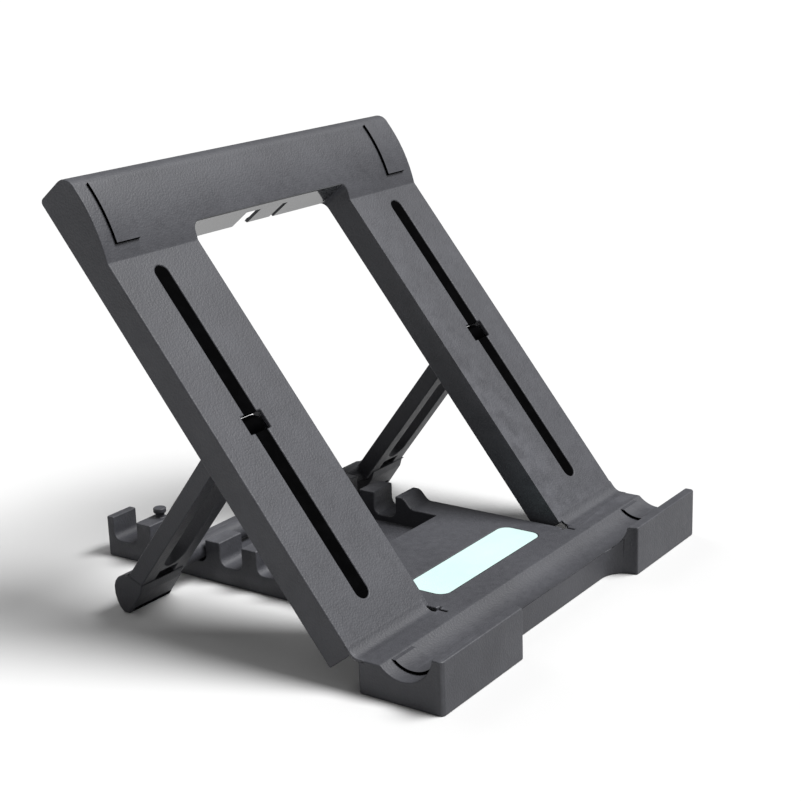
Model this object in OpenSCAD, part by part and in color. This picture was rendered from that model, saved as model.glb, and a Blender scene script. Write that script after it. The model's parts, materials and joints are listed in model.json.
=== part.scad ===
// Folding easel stand: a front ledge and notched rails on a base, a leaning back panel with two legs
// and a rounded top, and a U-shaped support that swings behind it. Units are millimetres, +Z is up,
// +X runs along the ledge and +Y points to the back. The origin is on the table under the middle.

/* [Stand] */
// Overall width of the ledge and the back panel
stand_w = 150; // [146:1:156]
// Lean of the back panel from the table, in degrees
lean = 51.6; // [50:0.1:53]
// Width of the opening between the legs
opening_w = 74.6; // [72:0.2:76]

/* [Back panel] */
// Thickness of the legs
panel_t = 9.6; // [9.4:0.1:10.4]
// Thickness of the front skin
skin_t = 1.6; // [1.4:0.1:1.7]
// Thickness of the side and end walls
wall_t = 2; // [1.6:0.1:2.4]
// Distance up the panel from the hinge to the crease under the top roll
roll_start = 125.4; // [124:0.1:126]
// Distance up the panel from the hinge to the upper edge of the opening
opening_top = 130.5; // [130:0.1:130.6]
// Height of the top roll above the front face
roll_rise = 4.4; // [4:0.1:5]
// Distance up the panel to the roll's highest line
roll_crown = 146; // [145:0.5:147]
// Radius of the roll's upper edge
roll_edge_r = 4.6; // [4.2:0.1:5]

/* [Ledge] */
// Depth of the ledge from its front face to the hinge line
ledge_d = 29; // [28:0.5:31]
// Height of the two corner lips
lip_h = 15.5; // [14.5:0.5:16.5]
// Length of each corner block along the ledge
block_l = 40.4; // [37:0.2:41]
// Set-back of the middle of the front face
front_setback = 8; // [7:0.5:9]
// Height of the ledge's flat and of the plate behind it
deck_h = 10; // [9.8:0.1:10.1]
// Radius of the trough
trough_r = 9.6; // [9:0.1:10]
// Lowest height of the trough above the table
trough_z = 7.1; // [6.8:0.1:7.4]

/* [Rails] */
// Rear end of the rails behind the hinge line
rail_end = 127; // [126:0.5:129]
// Height of the teeth
tooth_h = 13.5; // [13:0.1:14]
// Distance from one notch to the next
notch_pitch = 14.6; // [14.4:0.1:14.8]
// Width of a notch
notch_w = 8.6; // [8.2:0.1:9]
// Height of a notch's floor
notch_floor = 6; // [5.6:0.1:6.2]
// Number of notches on each rail
notches = 5; // [5:1:5]

/* [Support] */
// Width of each arm
arm_w = 20; // [18:0.5:20]
// Thickness of each arm
arm_t = 5.4; // [5:0.1:5.6]
// Radius of the crossbar
bar_r = 3.3; // [3.1:0.1:3.4]
// Distance up the panel from the hinge to the support's pivot
pivot_u = 68.4; // [67:0.1:69]
// Radius of the pivot pins
pin_r = 1.5; // [1.2:0.1:1.6]

/* [Hidden] */
$fn = 64;

eps = 0.01;
body_colour = [0.24, 0.245, 0.255];
rubber_colour = [0.05, 0.05, 0.055];

// Frames: y = 0 is the hinge line until stand_frame() moves it
mid_y = (rail_end - ledge_d) / 2;
hinge_z = 10.8;
leg_gap = 1.7;
leg_in = opening_w / 2;
leg_out = stand_w / 2;

// Back panel, drawn flat: y runs up the panel, z = 0 is the front face
roll_r = (pow(roll_crown - roll_start, 2) + pow(roll_rise, 2)) / (2 * roll_rise);
roll_axis_z = roll_rise - roll_r;
edge_u = roll_crown + 2.2;
edge_z = roll_rise - roll_edge_r;
panel_l = edge_u + roll_edge_r;
rear_round = 1.5;
opening_r = 2.5;
top_wall_t = 1;
strip_x = 58;
strip_w = 5.2;
strip_low = 11;
strip_high = 121;
strip_sink = 0.2;
window_w = 8.6;
window_l = 5.8;
pivot_z = -panel_t / 2;
knuckle_r = 3.5;
knuckle_w = 7.8;
bearing_t = 2;
bearing_gap = 0.8;
bearing_l = 17;
latch_half = 9.7;
latch_front = -1.7;
tongue_left = -3.5;
tongue_right = 8;
latch_barb = 0.25;
stiffener_t = 1.4;

// Base, seen from the side: y from the hinge line, z from the table
trough_y = -16.2;
middle_half = leg_out - block_l;
plate_half = leg_in - 1;
rail_in = 25.5;
deck_front = 39.3;
deck_floor = 3.6;
deck_floor_t = 2;
deck_end = 105;
deck_rise = 5.5;
pocket_end = 68;
pocket_x = -8;
dimple_x = -17;
dimple_y = 60;
dimple_r = 2.5;
dimple_depth = 4;
ramp_y = 48.5;
ramp_l = 5;
last_notch_y = rail_end - 12.9;
post_t = 2.8;
notch_round = 2.5;
shell_t = 2.2;
ledge_corner_r = 1.4;
label_l = 56;
label_w = 14.4;
label_r = 3.5;
label_y = 8.4;
label_t = 0.5;
slit_w = 0.9;
slit_l = 5.6;
slit_depth = 3;
stud_x = 28;
stud_y = last_notch_y - 3;
pad_in = 60.5;
pad_out = 70;
pad_t = 0.9;
pad_front_h = 12.6;

// Support, from its rest pose: the crossbar lies in the third notch from the back
rest_notch = 2;
fit_gap = 0.3;
bar_offset = 2;
bar_y = last_notch_y - rest_notch * notch_pitch + bar_r + fit_gap;
bar_z = notch_floor + bar_r + fit_gap;
pivot_y = pivot_u * cos(lean) - pivot_z * sin(lean);
pivot_h = hinge_z + pivot_u * sin(lean) + pivot_z * cos(lean);
reach = norm([bar_y - pivot_y, bar_z - pivot_h]);
arm_angle = atan2(bar_z - pivot_h, bar_y - pivot_y) - asin(bar_offset / reach);
arm_in = strip_x - arm_w / 2;
arm_out = strip_x + arm_w / 2;
arm_slot_w = 9;
arm_slot_start = 16;
arm_slot_end = 57.5;
arm_pocket_start = 59;
arm_pocket_end = 64.5;
arm_pocket_w = 8;
arm_pocket_floor = -1;
boot_in = arm_in + 2;
boot_out = arm_out;
foot_out = boot_out - 2;
sole_t = 1.3;
heel_t = 1.5;
heel_h = 8.6;
heel_y = 93.6;
pin_clearance = 0.05;
pin_l = arm_w + 2 * (bearing_gap + bearing_t);

// Moves parts drawn from the hinge line into the stand's own frame
module stand_frame() translate([0, -mid_y, 0]) children();

// Turns parts drawn on the flat panel to its lean
module panel_frame() stand_frame() translate([0, 0, hinge_z]) rotate([lean, 0, 0]) children();

// Turns parts drawn along y from the pivot to the support's rest pose
module arm_frame() stand_frame() translate([0, pivot_y, pivot_h]) rotate([arm_angle, 0, 0]) children();

// Box between two corners
module box(low, high) translate(low) cube(high - low);

// Box that is the same on the left and the right, from |x| = x0 to |x| = x1
module pair_box(x0, x1, yz0, yz1) {
    for (side = [-1, 1]) translate([side * (x0 + x1) / 2, 0, 0])
        box([-(x1 - x0) / 2, yz0[0], yz0[1]], [(x1 - x0) / 2, yz1[0], yz1[1]]);
}

// Round bar along x, centred on x, through the point (y, z)
module bar(l, r, y, z, x = 0) translate([x - l / 2, y, z]) rotate([0, 90, 0]) cylinder(h = l, r = r);

// Extrudes a side view, drawn in (y, z), along x from x0 to x1
module side_view(x0, x1) translate([x0, 0, 0]) rotate([90, 0, 90]) linear_extrude(x1 - x0) children();

// Plate with four rounded corners, centred on x
module rounded_plate(l, w, h, r, y, z) {
    translate([0, y, z]) {
        box([-l / 2 + r, -w / 2, 0], [l / 2 - r, w / 2, h]);
        box([-l / 2, -w / 2 + r, 0], [l / 2, w / 2 - r, h]);
        for (sx = [-1, 1], sy = [-1, 1])
            translate([sx * (l / 2 - r), sy * (w / 2 - r), 0]) cylinder(h = h, r = r);
    }
}

// Slot with round ends along y, cut through z0 to z1
module slot(x, w, y0, y1, z0, z1) {
    box([x - w / 2, y0 + w / 2, z0], [x + w / 2, y1 - w / 2, z1]);
    for (y = [y0 + w / 2, y1 - w / 2]) translate([x, y, z0]) cylinder(h = z1 - z0, r = w / 2);
}

// The roll's solid, shrunk on its outer side by inset, over a width
module roll_solid(w, inset, u0) {
    intersection() {
        bar(w, roll_r - inset, roll_crown, roll_axis_z);
        box([-w / 2, u0, -1], [w / 2, edge_u, roll_rise + 1]);
    }
    bar(w, roll_edge_r - inset, edge_u, edge_z);
    box([-w / 2, u0, -panel_t + rear_round], [w / 2, edge_u, -1 + eps]);
    box([-w / 2, edge_u - eps, -panel_t + rear_round], [w / 2, panel_l - inset, edge_z]);
}

// One notch of a rail: straight walls and a round-cornered floor
module notch(y0, w) {
    box([-rail_end, y0, notch_floor + notch_round], [rail_end, y0 + w, tooth_h + 1]);
    box([-rail_end, y0 + notch_round, notch_floor], [rail_end, y0 + w - notch_round, tooth_h + 1]);
    for (y = [y0 + notch_round, y0 + w - notch_round])
        bar(2 * rail_end, notch_round, y, notch_floor + notch_round);
}

// Side view of a rail, with its curved ramp up from the plate
module rail_profile() {
    polygon(concat(
        [[deck_front - 1, 0], [deck_front - 1, deck_h]],
        [for (t = [0:0.1:1]) [ramp_y + ramp_l * t, deck_h + (tooth_h - deck_h) * (1 - cos(180 * t)) / 2]],
        [[rail_end, tooth_h], [rail_end, 0]]));
}

module rails() {
    difference() {
        for (x0 = [-plate_half, rail_in]) side_view(x0, x0 + plate_half - rail_in) rail_profile();
        for (i = [1:notches - 1]) notch(last_notch_y - i * notch_pitch, notch_w);
        notch(last_notch_y, rail_end - post_t - last_notch_y);
    }
    for (side = [-1, 1]) translate([side * stud_x, stud_y, tooth_h - eps]) {
        cylinder(h = 2, r = 1.5);
        translate([0, 0, 1.6]) cylinder(h = 1.7, r = 2.1);
    }
}

// Everything in front of the hinge line before the trough is cut
module ledge_blank() intersection() {
    union() {
        box([-leg_out, -ledge_d, 0], [leg_out, -leg_gap, deck_h]);
        box([-leg_out, -ledge_d, 0], [leg_out, trough_y, lip_h]);
    }
    rounded_plate(stand_w, ledge_d - leg_gap, lip_h, ledge_corner_r, -(ledge_d + leg_gap) / 2, 0);
}

// What the set-back in the middle of the front face removes
module front_relief() {
    h = lip_h + 2;
    translate([0, 0, -1]) {
        box([-middle_half, -2 * ledge_d, 0], [middle_half, -ledge_d, h]);
        box([-middle_half + front_setback, -2 * ledge_d, 0],
            [middle_half - front_setback, -ledge_d + front_setback, h]);
        for (side = [-1, 1])
            translate([side * (middle_half - front_setback), -ledge_d, 0]) cylinder(h = h, r = front_setback);
    }
}

// Hollows under the ledge and the plate, with ribs left between them
module underside_hollows() {
    rib_t = 1.6;
    under_trough = trough_z - shell_t;
    pair_box(middle_half + rib_t, leg_out - shell_t,
             [-ledge_d + shell_t, -1], [-leg_gap - shell_t, under_trough]);
    for (x0 = [-middle_half + rib_t, rib_t / 2])
        box([x0, -ledge_d + front_setback + shell_t, -1],
            [x0 + middle_half - 1.5 * rib_t, -leg_gap - shell_t, under_trough]);
    for (x0 = [-middle_half + rib_t, rib_t / 2], y0 = [0, 20])
        box([x0, y0, -1], [x0 + middle_half - 1.5 * rib_t, y0 + 20 - rib_t, deck_h - label_t - shell_t]);
}

// Floor between the rails: a pocket on the right, a raised pad with a dimple on the left, a flat deck behind
module rear_deck() {
    deck_under = deck_floor - deck_floor_t;
    box([-rail_in - 1, deck_front - 1, deck_under], [rail_in + 1, deck_end, deck_floor]);
    box([-rail_in - 1, pocket_end, deck_under], [rail_in + 1, deck_end, deck_rise]);
    difference() {
        box([-rail_in - 1, deck_front - 1, deck_under], [pocket_x, pocket_end, deck_h]);
        translate([dimple_x, dimple_y, deck_h - dimple_depth]) cylinder(h = deck_h, r = dimple_r);
    }
}

module base_tray() color(body_colour) stand_frame() {
    difference() {
        union() {
            difference() {
                union() {
                    ledge_blank();
                    box([-plate_half, -leg_gap - 1, 0], [plate_half, deck_front, deck_h]);
                }
                bar(stand_w + 2, trough_r, trough_y, trough_z + trough_r);
                front_relief();
            }
            rear_deck();
            rails();
        }
        underside_hollows();
        rounded_plate(label_l + 0.2, label_w + 0.2, 2, label_r, label_y, deck_h - label_t);
        for (side = [-1, 1]) translate([side * (leg_in - slit_w / 2), 0, 0]) {
            box([-slit_w / 2, -slit_l, deck_h - slit_depth], [slit_w / 2, 1, deck_h + 1]);
            box([-2 * slit_w, -leg_gap - slit_w, deck_h - slit_depth], [2 * slit_w, -leg_gap, deck_h + 1]);
        }
    }
}

module label_plate() color([0.86, 0.93, 0.92]) stand_frame()
    rounded_plate(label_l, label_w, label_t - 0.1, label_r, label_y, deck_h - label_t);

// Thin web that joins the ledge to one leg along the hinge line
module hinge_web(x0) color(body_colour) stand_frame() side_view(x0, x0 + leg_out - leg_in - 2 * slit_w)
    polygon([[-leg_gap, deck_h - 0.7], [-leg_gap, deck_h], [-0.5, hinge_z - 0.15],
             [-0.1, hinge_z - 0.1], [-0.1, hinge_z - 0.8], [-0.8, hinge_z - 1.1]]);
module hinge_web_left() hinge_web(-leg_out);
module hinge_web_right() hinge_web(leg_in + 2 * slit_w);

// Curved pad lying in the trough
module trough_pad(x) color(body_colour) stand_frame() intersection() {
    difference() {
        bar(pad_out - pad_in, trough_r, trough_y, trough_z + trough_r, x);
        bar(pad_out - pad_in + 1, trough_r - pad_t, trough_y, trough_z + trough_r, x);
    }
    union() {
        box([-leg_out, -ledge_d, 0], [leg_out, 0, deck_h - 0.2]);
        box([-leg_out, -ledge_d, 0], [leg_out, trough_y, pad_front_h]);
    }
}
module trough_pad_left() trough_pad(-(pad_in + pad_out) / 2);
module trough_pad_right() trough_pad((pad_in + pad_out) / 2);

// Hollow of one leg and of the roll, open at the back
module panel_hollow() {
    pair_box(leg_in + wall_t, leg_out - wall_t,
             [wall_t, -panel_t - 1], [opening_top + top_wall_t + 1, -skin_t]);
    difference() {
        union() {
            roll_solid(stand_w - 2 * wall_t, wall_t, opening_top + top_wall_t);
            box([-leg_out + wall_t, opening_top + top_wall_t, -panel_t - 1],
                [leg_out - wall_t, panel_l - wall_t, -panel_t + rear_round + 1]);
        }
        box([-stand_w, 0, -skin_t], [stand_w, opening_top + top_wall_t, panel_t]);
    }
}

// Opening between the legs, with rounded upper corners
module panel_opening() {
    box([-leg_in, -1, -panel_t - 1], [leg_in, opening_top - opening_r, panel_t]);
    box([-leg_in + opening_r, -1, -panel_t - 1], [leg_in - opening_r, opening_top, panel_t]);
    for (side = [-1, 1]) translate([side * (leg_in - opening_r), opening_top - opening_r, -panel_t - 1])
        cylinder(h = 2 * panel_t + 1, r = opening_r);
}

// Spring tongue that holds the folded crossbar, in a notch of the opening's upper wall
module latch() {
    box([tongue_left, opening_top, -panel_t + 0.4],
        [tongue_right, opening_top + top_wall_t, latch_front + eps]);
    side_view(tongue_left, tongue_right)
        polygon([[opening_top + top_wall_t - eps, -panel_t + 0.4],
                 [opening_top + top_wall_t + latch_barb, -panel_t + 1.2],
                 [opening_top + top_wall_t - eps, -panel_t + 2.4]]);
}

// Walls that carry the pivot pins, and the ribs that stiffen the lower legs
module panel_ribs() {
    for (x0 = [arm_in - bearing_gap - bearing_t, arm_out + bearing_gap])
        pair_box(x0, x0 + bearing_t,
                 [pivot_u - bearing_l / 2, -panel_t], [pivot_u + bearing_l / 2, -skin_t + eps]);
    for (u = [20, 42])
        pair_box(leg_in + 1, leg_out - 1, [u, -panel_t + 1.2], [u + stiffener_t, -skin_t + eps]);
}

module back_panel() color(body_colour) panel_frame() difference() {
    union() {
        difference() {
            union() {
                box([-leg_out, 0, -panel_t], [leg_out, edge_u, 0]);
                roll_solid(stand_w, 0, roll_start);
                box([-leg_out, edge_u - 1, -panel_t],
                    [leg_out, panel_l - rear_round, -panel_t + 2 * rear_round]);
                bar(stand_w, rear_round, panel_l - rear_round, -panel_t + rear_round);
            }
            panel_opening();
            panel_hollow();
            box([-latch_half, opening_top - 1, -panel_t - 1],
                [latch_half, opening_top + top_wall_t + 1, latch_front]);
        }
        latch();
        panel_ribs();
    }
    for (side = [-1, 1]) {
        slot(side * strip_x, strip_w, strip_low, strip_high, -skin_t, 1);
        translate([side * strip_x, pivot_u, 0])
            box([-window_w / 2, -window_l / 2, -skin_t - 1], [window_w / 2, window_l / 2, 1]);
    }
    for (side = [-1, 1]) bar(pin_l, pin_r, pivot_u, pivot_z, side * strip_x);
}

// Curved pad on the roll, from just above the crease to where the roll turns over the top
module top_pad(x) color(body_colour) panel_frame() intersection() {
    w = pad_out - pad_in;
    difference() {
        bar(w, roll_r + pad_t, roll_crown, roll_axis_z, x);
        bar(w + 1, roll_r, roll_crown, roll_axis_z, x);
    }
    box([-leg_out, opening_top - 0.8, 0], [leg_out, edge_u, roll_rise + 2]);
}
module top_pad_left() top_pad(-(pad_in + pad_out) / 2);
module top_pad_right() top_pad((pad_in + pad_out) / 2);

// Rubber strip pressed into one leg's slot, between two heights on the panel
module grip_strip(side, u0, u1) color(rubber_colour) panel_frame() intersection() {
    slot(side * strip_x, strip_w, strip_low, strip_high, -skin_t, -strip_sink);
    box([-leg_out, u0, -panel_t], [leg_out, u1, 0]);
}
window_top = pivot_u + window_l / 2;
window_foot = pivot_u - window_l / 2;
module grip_strip_left_lower() grip_strip(-1, 0, window_foot);
module grip_strip_left_upper() grip_strip(-1, window_top, panel_l);
module grip_strip_right_lower() grip_strip(1, 0, window_foot);
module grip_strip_right_upper() grip_strip(1, window_top, panel_l);

// Steel pin through the pivot walls and one arm
module pivot_pin(side) color([0.7, 0.71, 0.72]) panel_frame()
    bar(pin_l, pin_r, pivot_u, pivot_z, side * strip_x);
module pivot_pin_left() pivot_pin(-1);
module pivot_pin_right() pivot_pin(1);

// Flat arm with a long slot and a knuckle round the pin, drawn along y from the pivot
module arm(side) difference() {
    union() {
        bar(arm_w, arm_t / 2, 0, 0, side * strip_x);
        bar(knuckle_w, knuckle_r, 0, 0, side * strip_x);
        translate([side * strip_x, 0, 0]) box([-arm_w / 2, 0, -arm_t / 2], [arm_w / 2, reach - 1, arm_t / 2]);
    }
    slot(side * strip_x, arm_slot_w, arm_slot_start, arm_slot_end, -arm_t, arm_t);
    translate([side * strip_x, 0, 0])
        box([-arm_pocket_w / 2, arm_pocket_start, -arm_t], [arm_pocket_w / 2, arm_pocket_end, -arm_pocket_floor]);
    bar(arm_w + 2, pin_r + pin_clearance, 0, 0, side * strip_x);
}

// Side view of the boot at an arm's foot, with its rubber
module boot_profile() polygon([
    [82, 10.2], [82.9, 7.2], [88.1, 0], [90.4, 0], [91.8, 1.3], [92.8, 3.2], [heel_y - 0.1, 5.4],
    [heel_y, 8], [93, 9.6], [91.9, 11], [89.8, 12], [87.2, 12.3]]);

// Side view of what is left of the boot where the rubber wraps its sole and its heel
module boot_core() intersection() {
    boot_profile();
    polygon([[80, 20], [80, sole_t], [89.8, sole_t], [heel_y - 2.6, 2.6], [heel_y - heel_t - 0.1, 4.6],
             [heel_y - heel_t, heel_h], [100, heel_h], [100, 20]]);
}

module support_frame() color(body_colour) {
    arm_frame() for (side = [-1, 1]) arm(side);
    stand_frame() {
        bar(2 * boot_in + 2, bar_r, bar_y, bar_z);
        for (x0 = [-foot_out, boot_in]) side_view(x0, x0 + foot_out - boot_in) boot_core();
        for (x0 = [-boot_out, foot_out]) side_view(x0, x0 + boot_out - foot_out) boot_profile();
    }
}

// Rubber foot that wraps the heel and the sole of one boot
module rubber_foot(x0) color(rubber_colour) stand_frame() side_view(x0, x0 + foot_out - boot_in)
    difference() {
        boot_profile();
        boot_core();
    }
module rubber_foot_left() rubber_foot(-foot_out);
module rubber_foot_right() rubber_foot(boot_in);

base_tray();
label_plate();
hinge_web_left();
hinge_web_right();
trough_pad_left();
trough_pad_right();
back_panel();
top_pad_left();
top_pad_right();
grip_strip_left_lower();
grip_strip_left_upper();
grip_strip_right_lower();
grip_strip_right_upper();
pivot_pin_left();
pivot_pin_right();
support_frame();
rubber_foot_left();
rubber_foot_right();
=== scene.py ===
import json
import math

import bmesh
import bpy
from mathutils import Matrix, Vector


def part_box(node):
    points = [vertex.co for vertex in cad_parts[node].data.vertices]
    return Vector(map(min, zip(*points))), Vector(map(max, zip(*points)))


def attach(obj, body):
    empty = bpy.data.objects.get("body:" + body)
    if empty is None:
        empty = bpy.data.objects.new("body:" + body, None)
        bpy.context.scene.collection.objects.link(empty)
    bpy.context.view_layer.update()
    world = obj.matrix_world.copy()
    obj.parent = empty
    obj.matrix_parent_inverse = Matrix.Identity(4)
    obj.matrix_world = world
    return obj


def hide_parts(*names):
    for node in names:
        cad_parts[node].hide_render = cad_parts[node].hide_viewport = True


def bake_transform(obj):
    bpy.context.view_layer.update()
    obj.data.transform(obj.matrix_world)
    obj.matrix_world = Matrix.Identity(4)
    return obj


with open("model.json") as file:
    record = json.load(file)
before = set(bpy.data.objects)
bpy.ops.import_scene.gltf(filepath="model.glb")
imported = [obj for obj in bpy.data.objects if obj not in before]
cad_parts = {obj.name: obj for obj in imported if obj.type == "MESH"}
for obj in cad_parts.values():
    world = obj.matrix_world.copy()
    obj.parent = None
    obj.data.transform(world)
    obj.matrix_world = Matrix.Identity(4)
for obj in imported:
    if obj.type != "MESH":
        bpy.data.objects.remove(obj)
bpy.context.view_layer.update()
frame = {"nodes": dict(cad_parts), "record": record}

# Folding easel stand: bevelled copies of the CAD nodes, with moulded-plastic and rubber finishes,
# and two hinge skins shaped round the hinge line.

MM = 0.001
RECORD = frame["record"]
NODES = frame["nodes"]
SLOT_OF = {s["node"]: s["material_slot"] for s in RECORD["subparts"]}
BODY_OF = {n: b for b, names in RECORD["behaviour"]["bodies"].items() for n in names}
JOINTS = {j["name"]: j for j in RECORD["behaviour"]["joints"]}
HINGE = Vector(JOINTS["panel_hinge"]["pos_m"])
FACE = next(m for m in RECORD["mounts"] if m["name"] == "device_face")
PANEL_NORMAL = Vector(FACE["axis"]).normalized()
PANEL_UP = Vector((1, 0, 0)).cross(-PANEL_NORMAL).normalized()
if PANEL_UP.z < 0:
    PANEL_UP = -PANEL_UP
PIVOT = Vector(JOINTS["support_pivot"]["pos_m"])
# Top of the deck, which the label lies just below
DECK_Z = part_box("label_plate")[1].z + 0.1 * MM


# ---------------------------------------------------------------- node helpers

class Nodes:
    """A small wrapper that adds and links shader nodes."""

    def __init__(self, name):
        self.mat = bpy.data.materials.new(name)
        self.mat.use_nodes = True
        self.tree = self.mat.node_tree
        self.tree.nodes.clear()
        self.out = self.add("ShaderNodeOutputMaterial")
        self.bsdf = self.add("ShaderNodeBsdfPrincipled")
        self.link(self.bsdf.outputs["BSDF"], self.out.inputs["Surface"])
        self.coords = self.add("ShaderNodeTexCoord").outputs["Object"]

    def add(self, kind, **props):
        node = self.tree.nodes.new(kind)
        for key, value in props.items():
            setattr(node, key, value)
        return node

    def link(self, a, b):
        self.tree.links.new(a, b)

    def set(self, node, **values):
        for key, value in values.items():
            node.inputs[key].default_value = value

    def noise(self, scale, detail=2.0, roughness=0.5, coords=None):
        node = self.add("ShaderNodeTexNoise")
        self.set(node, Scale=scale, Detail=detail, Roughness=roughness)
        self.link(coords or self.coords, node.inputs["Vector"])
        return node.outputs["Fac"]

    def cells(self, scale, coords):
        node = self.add("ShaderNodeTexVoronoi", feature="F1")
        self.set(node, Scale=scale)
        self.link(coords, node.inputs["Vector"])
        return node.outputs["Distance"]

    def stretched(self, scale):
        node = self.add("ShaderNodeMapping")
        node.inputs["Scale"].default_value = scale
        self.link(self.coords, node.inputs["Vector"])
        return node.outputs["Vector"]

    def warped(self, amount, scale):
        """Coordinates pushed about by a noise, so that cells lose their round shape."""
        noise = self.add("ShaderNodeTexNoise")
        self.set(noise, Scale=scale, Detail=2.0)
        self.link(self.coords, noise.inputs["Vector"])
        mix = self.add("ShaderNodeVectorMath", operation="MULTIPLY_ADD")
        self.link(noise.outputs["Color"], mix.inputs[0])
        mix.inputs[1].default_value = (amount,) * 3
        self.link(self.coords, mix.inputs[2])
        return mix.outputs["Vector"]

    def spread(self, value, low, high, to_low=0.0, to_high=1.0):
        node = self.add("ShaderNodeMapRange")
        node.inputs["From Min"].default_value = low
        node.inputs["From Max"].default_value = high
        node.inputs["To Min"].default_value = to_low
        node.inputs["To Max"].default_value = to_high
        self.link(value, node.inputs["Value"])
        return node.outputs["Result"]

    def combine(self, operation, a, b):
        node = self.add("ShaderNodeMath", operation=operation)
        for socket, value in zip(node.inputs, (a, b)):
            if isinstance(value, (int, float)):
                socket.default_value = value
            else:
                self.link(value, socket)
        return node.outputs["Value"]

    def mixed(self, factor, first, second):
        """From the first colour to the second; each is a tuple or a node's output."""
        node = self.add("ShaderNodeMix", data_type="RGBA")
        colour_inputs = [s for s in node.inputs if s.type == "RGBA"]
        self.link(factor, node.inputs["Factor"])
        for socket, value in zip(colour_inputs, (first, second)):
            if isinstance(value, tuple):
                socket.default_value = (*value, 1)
            else:
                self.link(value, socket)
        return next(o for o in node.outputs if o.type == "RGBA")

    def bump(self, height, strength, distance, normal=None):
        node = self.add("ShaderNodeBump")
        node.inputs["Strength"].default_value = strength
        node.inputs["Distance"].default_value = distance
        self.link(height, node.inputs["Height"])
        if normal is not None:
            self.link(normal, node.inputs["Normal"])
        return node.outputs["Normal"]

    def edge_wear(self, low=0.52, high=0.60):
        """1 along convex edges, where handling polishes a moulding."""
        geometry = self.add("ShaderNodeNewGeometry")
        return self.spread(geometry.outputs["Pointiness"], low, high)


def moulded_plastic(name, dark, light, grain=1.0):
    """Dark moulded plastic with a pebbled grain, slightly polished on its edges."""
    n = Nodes(name)
    warped = n.warped(0.0006, 900)
    pebbles = n.cells(1500, warped)
    fine = n.noise(3600, 3)
    clouds = n.noise(28, 3, 0.6)
    mottle = n.noise(420, 3, 0.6)
    tone = n.combine("ADD", n.spread(clouds, 0.35, 0.65, 0.15, 0.75),
                     n.spread(mottle, 0.3, 0.7, -0.18, 0.22))
    base = n.mixed(tone, dark, light)
    worn = n.edge_wear()
    lighter = tuple(min(1.0, c * 1.35 + 0.012) for c in light)
    wear_mask = n.combine("MULTIPLY", worn, n.spread(n.noise(160, 3), 0.4, 0.6, 0.1, 0.55))
    n.link(n.mixed(wear_mask, base, lighter), n.bsdf.inputs["Base Color"])
    rough = n.combine("ADD", n.spread(mottle, 0.3, 0.7, 0.50, 0.62), n.combine("MULTIPLY", worn, -0.10))
    n.link(rough, n.bsdf.inputs["Roughness"])
    height = n.combine("ADD", n.spread(pebbles, 0.0, 0.75), n.combine("MULTIPLY", fine, 0.25))
    grain_normal = n.bump(height, 0.5 * grain, 0.0001)
    n.link(n.bump(n.noise(70, 2), 0.08, 0.0004, grain_normal), n.bsdf.inputs["Normal"])
    n.bsdf.inputs["Specular IOR Level"].default_value = 0.38
    n.bsdf.inputs["IOR"].default_value = 1.49
    return n.mat


def smooth_plastic(name, dark, light, roughness):
    """Glossy plastic with a faint mould texture, for walls that a smooth core formed."""
    n = Nodes(name)
    clouds = n.noise(60, 3, 0.6)
    n.link(n.mixed(n.spread(clouds, 0.35, 0.65), dark, light), n.bsdf.inputs["Base Color"])
    n.link(n.spread(n.noise(90, 2), 0.3, 0.7, roughness - 0.02, roughness + 0.03),
           n.bsdf.inputs["Roughness"])
    n.link(n.bump(n.noise(240, 2), 0.04, 0.00002), n.bsdf.inputs["Normal"])
    n.bsdf.inputs["Specular IOR Level"].default_value = 0.8
    return n.mat


def soft_rubber(name):
    """Matte black rubber with a dusty bloom and a fine moulded pore."""
    n = Nodes(name)
    dust = n.noise(240, 4, 0.65)
    n.link(n.mixed(n.spread(dust, 0.45, 0.75), (0.0003, 0.0003, 0.0004), (0.0014, 0.0014, 0.0016)),
           n.bsdf.inputs["Base Color"])
    n.link(n.spread(dust, 0.3, 0.7, 0.62, 0.8), n.bsdf.inputs["Roughness"])
    n.link(n.bump(n.noise(2600, 3), 0.3, 0.0001), n.bsdf.inputs["Normal"])
    n.bsdf.inputs["Specular IOR Level"].default_value = 0.01
    return n.mat


def label_film(name):
    """Pale label film with a soft sheen and slight waviness."""
    n = Nodes(name)
    clouds = n.noise(45, 3, 0.5)
    n.link(n.mixed(n.spread(clouds, 0.35, 0.65), (0.42, 0.56, 0.54), (0.45, 0.59, 0.57)),
           n.bsdf.inputs["Base Color"])
    n.link(n.spread(n.noise(300, 3), 0.3, 0.7, 0.36, 0.46), n.bsdf.inputs["Roughness"])
    n.link(n.bump(n.noise(90, 2), 0.12, 0.0002), n.bsdf.inputs["Normal"])
    return n.mat


def drawn_steel(name):
    """Drawn steel pin with fine lines round it."""
    n = Nodes(name)
    lines = n.noise(600, 3, 0.6, n.stretched((0.05, 1, 1)))
    n.link(n.mixed(n.spread(lines, 0.3, 0.7), (0.42, 0.43, 0.44), (0.6, 0.61, 0.62)),
           n.bsdf.inputs["Base Color"])
    n.bsdf.inputs["Metallic"].default_value = 1.0
    n.link(n.spread(lines, 0.3, 0.7, 0.25, 0.4), n.bsdf.inputs["Roughness"])
    n.link(n.bump(lines, 0.15, 0.00005), n.bsdf.inputs["Normal"])
    return n.mat


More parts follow.
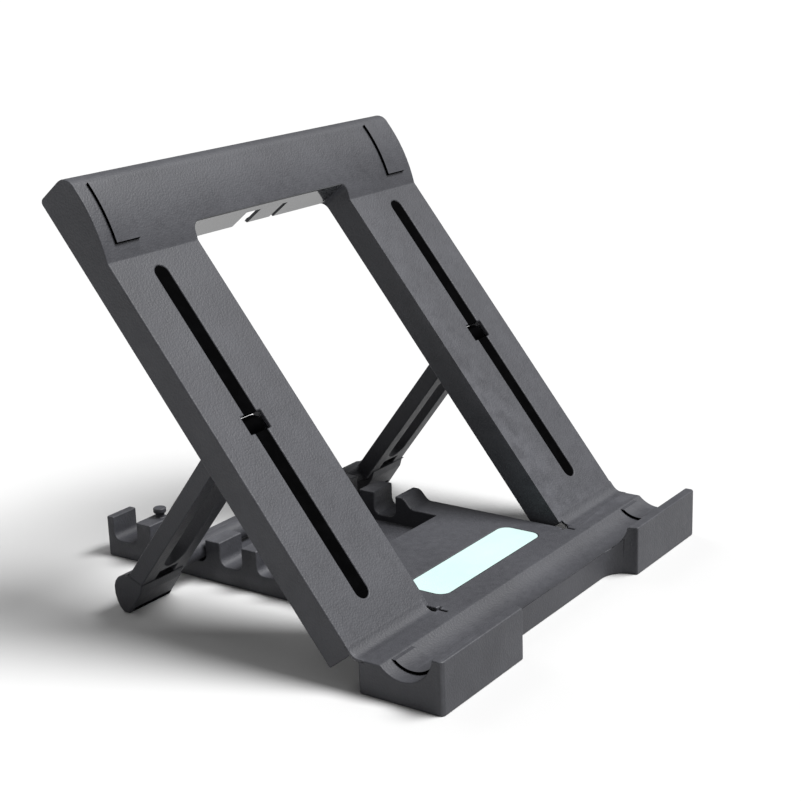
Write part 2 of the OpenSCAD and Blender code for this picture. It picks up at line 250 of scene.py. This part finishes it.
BODY_DARK = (0.031, 0.0315, 0.0365)
BODY_LIGHT = (0.046, 0.047, 0.054)
MATERIALS = {
    "body_plastic": moulded_plastic("moulded_plastic", BODY_DARK, BODY_LIGHT),
    "pad_plastic": moulded_plastic("pad_plastic", BODY_DARK, BODY_LIGHT, 0.8),
    "polished": smooth_plastic("polished_plastic", (0.034, 0.035, 0.038), (0.046, 0.048, 0.052), 0.13),
    "rubber_black": soft_rubber("black_rubber"),
    "label": label_film("label_film"),
    "steel_pin": drawn_steel("drawn_steel"),
}


# ---------------------------------------------------------------- pieces from the CAD nodes

# Bevel width of each node's edges, in millimetres
EDGE = {"base_tray": 0.45, "back_panel": 0.45, "support_frame": 0.4, "label_plate": 0.12,
        "top_pad_left": 0.05, "top_pad_right": 0.05, "trough_pad_left": 0.05, "trough_pad_right": 0.05}
FINE_EDGE = 0.15
SHARP_ANGLE = math.radians(11)
MERGE_DISTANCE = 2e-6
FLAT_ANGLE = math.radians(0.6)


def clean_copy(node):
    """A new object with the node's mesh, its triangles merged back into flat faces."""
    mesh = NODES[node].data.copy()
    mesh.name = node + "_shape"
    bm = bmesh.new()
    bm.from_mesh(mesh)
    bmesh.ops.remove_doubles(bm, verts=bm.verts, dist=MERGE_DISTANCE)
    bmesh.ops.dissolve_limit(bm, angle_limit=FLAT_ANGLE, verts=bm.verts, edges=bm.edges)
    for face in bm.faces:
        face.smooth = True
    for edge in bm.edges:
        edge.smooth = len(edge.link_faces) == 2 and edge.calc_face_angle(0) < SHARP_ANGLE
    bm.to_mesh(mesh)
    bm.free()
    piece = bpy.data.objects.new(node + "_finished", mesh)
    bpy.context.scene.collection.objects.link(piece)
    return piece


def paint(piece, slot):
    """One material all over, under its slot's name."""
    piece.data.materials.clear()
    piece.data.materials.append(MATERIALS[slot])


def paint_faces(piece, material, wanted):
    """A second finish on the faces for which wanted(centre, normal) is true."""
    piece.data.materials.append(MATERIALS[material])
    index = len(piece.data.materials) - 1
    for face in piece.data.polygons:
        if wanted(face.center, face.normal):
            face.material_index = index


def finish_edges(piece, width):
    """Rounded edges that follow the shape, with flat faces kept flat."""
    bevel = piece.modifiers.new("edges", "BEVEL")
    bevel.width = width * MM
    bevel.segments = 3
    bevel.limit_method = "ANGLE"
    bevel.angle_limit = SHARP_ANGLE
    bevel.use_clamp_overlap = False
    bevel.harden_normals = True


def finish_node(node):
    """The finished stand-in for one CAD node."""
    piece = clean_copy(node)
    paint(piece, SLOT_OF[node])
    finish_edges(piece, EDGE.get(node, FINE_EDGE))
    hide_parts(node)
    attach(piece, BODY_OF[node])
    return piece


PIECES = {node: finish_node(node) for node in NODES if not node.startswith("hinge_web")}

OPENING_HALF = 36 * MM
OPENING_TOP_FROM = 100 * MM
KNUCKLE_REACH = 3.6 * MM
KNUCKLE_X = 58 * MM
KNUCKLE_HALF = 4.5 * MM


# Painted shade: the pads' side faces, and the top pads' lower faces, are painted black rubber for the
# shadow along the pads' edges
def on_pad_shaded_side(centre, normal):
    return abs(normal.x) > 0.7


def on_top_pad_shaded_edge(centre, normal):
    return on_pad_shaded_side(centre, normal) or normal.dot(PANEL_UP) < -0.7


def on_opening_top(centre, normal):
    above = (centre - HINGE).dot(PANEL_UP) > OPENING_TOP_FROM
    return above and normal.dot(PANEL_UP) < -0.95 and abs(centre.x) < OPENING_HALF


# Painted shade: the knuckle faces in the panel's windows are painted black for the shadow there
def on_shaded_knuckle(centre, normal):
    reach = (Vector((0, centre.y, centre.z)) - PIVOT).length
    return reach < KNUCKLE_REACH and abs(abs(centre.x) - KNUCKLE_X) < KNUCKLE_HALF


# The pads' side faces are painted black as painted shade along their edges, the opening's upper wall is
# polished, and the knuckles are painted black as painted shade in their windows
for node, piece in PIECES.items():
    if node.startswith("top_pad"):
        # Painted shade: black on the top pads' side and lower faces
        paint_faces(piece, "rubber_black", on_top_pad_shaded_edge)
    if node.startswith("trough_pad"):
        # Painted shade: black on the trough pads' side faces
        paint_faces(piece, "rubber_black", on_pad_shaded_side)
paint_faces(PIECES["back_panel"], "polished", on_opening_top)
# Painted shade: the knuckles are painted black, as the dark of their shadowed windows
paint_faces(PIECES["support_frame"], "rubber_black", on_shaded_knuckle)


def smooth_point(before, a, b, after, t):
    """A point of the Catmull-Rom curve from a to b."""
    return 0.5 * (2 * a + (b - before) * t + (2 * before - 5 * a + 4 * b - after) * t ** 2
                  + (3 * a - before - 3 * b + after) * t ** 3)


def skin_path(web_front):
    """Side view of the skin's upper face, from the deck, round the hinge line and up the leg."""
    proud = 0.03 * MM
    lift = PANEL_NORMAL * proud
    deck = DECK_Z + proud
    bends = [Vector((0, web_front - 2.4 * MM, deck - 2 * proud)), Vector((0, web_front - 1.7 * MM, deck)),
             Vector((0, web_front, deck + proud)), HINGE + Vector((0, -0.5 * MM, -0.2 * MM)),
             HINGE + PANEL_UP * 0.9 * MM + lift, HINGE + PANEL_UP * 2.2 * MM + lift,
             HINGE + PANEL_UP * 3.0 * MM - lift]
    steps = 8
    path = []
    for k in range(len(bends) - 1):
        before, a, b, after = (bends[max(0, min(len(bends) - 1, k + d))] for d in (-1, 0, 1, 2))
        for i in range(steps):
            path.append(smooth_point(before, a, b, after, i / steps))
    return path + [bends[-1]]


def thickened(path, thickness):
    """The path followed by a copy of it, reversed and set back by the thickness."""
    last = len(path) - 1
    inner = []
    for i, point in enumerate(path):
        along = path[min(last, i + 1)] - path[max(0, i - 1)]
        inner.append(point - Vector((1, 0, 0)).cross(along).normalized() * thickness)
    return path + inner[::-1]


def hinge_skin(node):
    """Thin web that bends where the panel meets the ledge: it follows the base, then the panel."""
    low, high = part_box(node)
    path = skin_path(low.y)
    outline = thickened(path, 0.7 * MM)
    mesh = bpy.data.meshes.new(node + "_skin")
    bm = bmesh.new()
    columns = 24
    rings = []
    for c in range(columns + 1):
        x = low.x + (high.x - low.x) * c / columns
        rings.append([bm.verts.new((x, p.y, p.z)) for p in outline])
    for a, b in zip(rings, rings[1:]):
        for i in range(len(outline)):
            j = (i + 1) % len(outline)
            bm.faces.new((a[i], b[i], b[j], a[j]))
    for ring in (rings[0], rings[-1]):
        for i in range(len(path) - 1):
            bm.faces.new((ring[i], ring[i + 1], ring[-i - 2], ring[-i - 1]))
    bmesh.ops.recalc_face_normals(bm, faces=bm.faces)
    for face in bm.faces:
        face.smooth = True
    for edge in bm.edges:
        edge.smooth = edge.calc_face_angle(0) < 3 * SHARP_ANGLE
    bm.to_mesh(mesh)
    bm.free()
    piece = bpy.data.objects.new(node + "_bending", mesh)
    bpy.context.scene.collection.objects.link(piece)
    paint(piece, "body_plastic")
    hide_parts(node)
    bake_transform(piece)
    return piece


SKINS = [hinge_skin(n) for n in NODES if n.startswith("hinge_web")]


# ---------------------------------------------------------------- floor, light and camera

def floor():
    """A pale floor that goes on past every view."""
    mesh = bpy.data.meshes.new("floor")
    half = 60.0
    corners = [(-half, -half, 0), (half, -half, 0), (half, half, 0), (-half, half, 0)]
    mesh.from_pydata(corners, [], [(0, 1, 2, 3)])
    obj = bpy.data.objects.new("floor", mesh)
    bpy.context.scene.collection.objects.link(obj)
    n = Nodes("pale_floor")
    n.bsdf.inputs["Base Color"].default_value = (0.5, 0.5, 0.5, 1)
    n.bsdf.inputs["Roughness"].default_value = 0.9
    n.bsdf.inputs["Specular IOR Level"].default_value = 0.1
    mesh.materials.append(n.mat)


def sun(name, towards, strength, softness):
    """A soft, even light from a direction, which lights the far floor as much as the near."""
    data = bpy.data.lights.new(name, "SUN")
    data.energy = strength
    data.angle = math.radians(softness)
    lamp = bpy.data.objects.new(name, data)
    bpy.context.scene.collection.objects.link(lamp)
    lamp.rotation_euler = Vector(towards).to_track_quat("Z", "Y").to_euler()


def studio():
    """One broad light from the front and above, a weak one from behind, and a pale surround."""
    sun("key", (0.32, -0.5, 1.0), 6.3, 32)
    sun("rim", (0.2, 0.9, 0.7), 0.7, 40)
    world = bpy.data.worlds.new("studio")
    world.use_nodes = True
    world.node_tree.nodes["Background"].inputs["Color"].default_value = (1, 1, 1, 1)
    world.node_tree.nodes["Background"].inputs["Strength"].default_value = 0.22
    bpy.context.scene.world = world


# Where the camera stands, in metres, and its azimuth, elevation and roll, in degrees
CAMERA_AT = (-0.3935, -0.2924, 0.2003)
CAMERA_ANGLES = (-54.81, 16.63, -1.91)


def camera():
    azimuth, elevation, roll = (math.radians(a) for a in CAMERA_ANGLES)
    back = Vector((math.sin(azimuth) * math.cos(elevation), -math.cos(azimuth) * math.cos(elevation),
                   math.sin(elevation)))
    level = Vector((math.cos(azimuth), math.sin(azimuth), 0))
    up = back.cross(level)
    right = level * math.cos(roll) + up * math.sin(roll)
    top = up * math.cos(roll) - level * math.sin(roll)
    data = bpy.data.cameras.new("camera")
    data.lens = 74.25
    data.sensor_width = 36
    data.clip_start = 0.01
    data.dof.use_dof = False
    obj = bpy.data.objects.new("camera", data)
    bpy.context.scene.collection.objects.link(obj)
    matrix = Matrix((right, top, back)).transposed().to_4x4()
    matrix.translation = Vector(CAMERA_AT)
    obj.matrix_world = matrix
    bpy.context.scene.camera = obj


floor()
studio()
camera()
bpy.context.scene.view_settings.view_transform = "Standard"
bpy.context.view_layer.update()
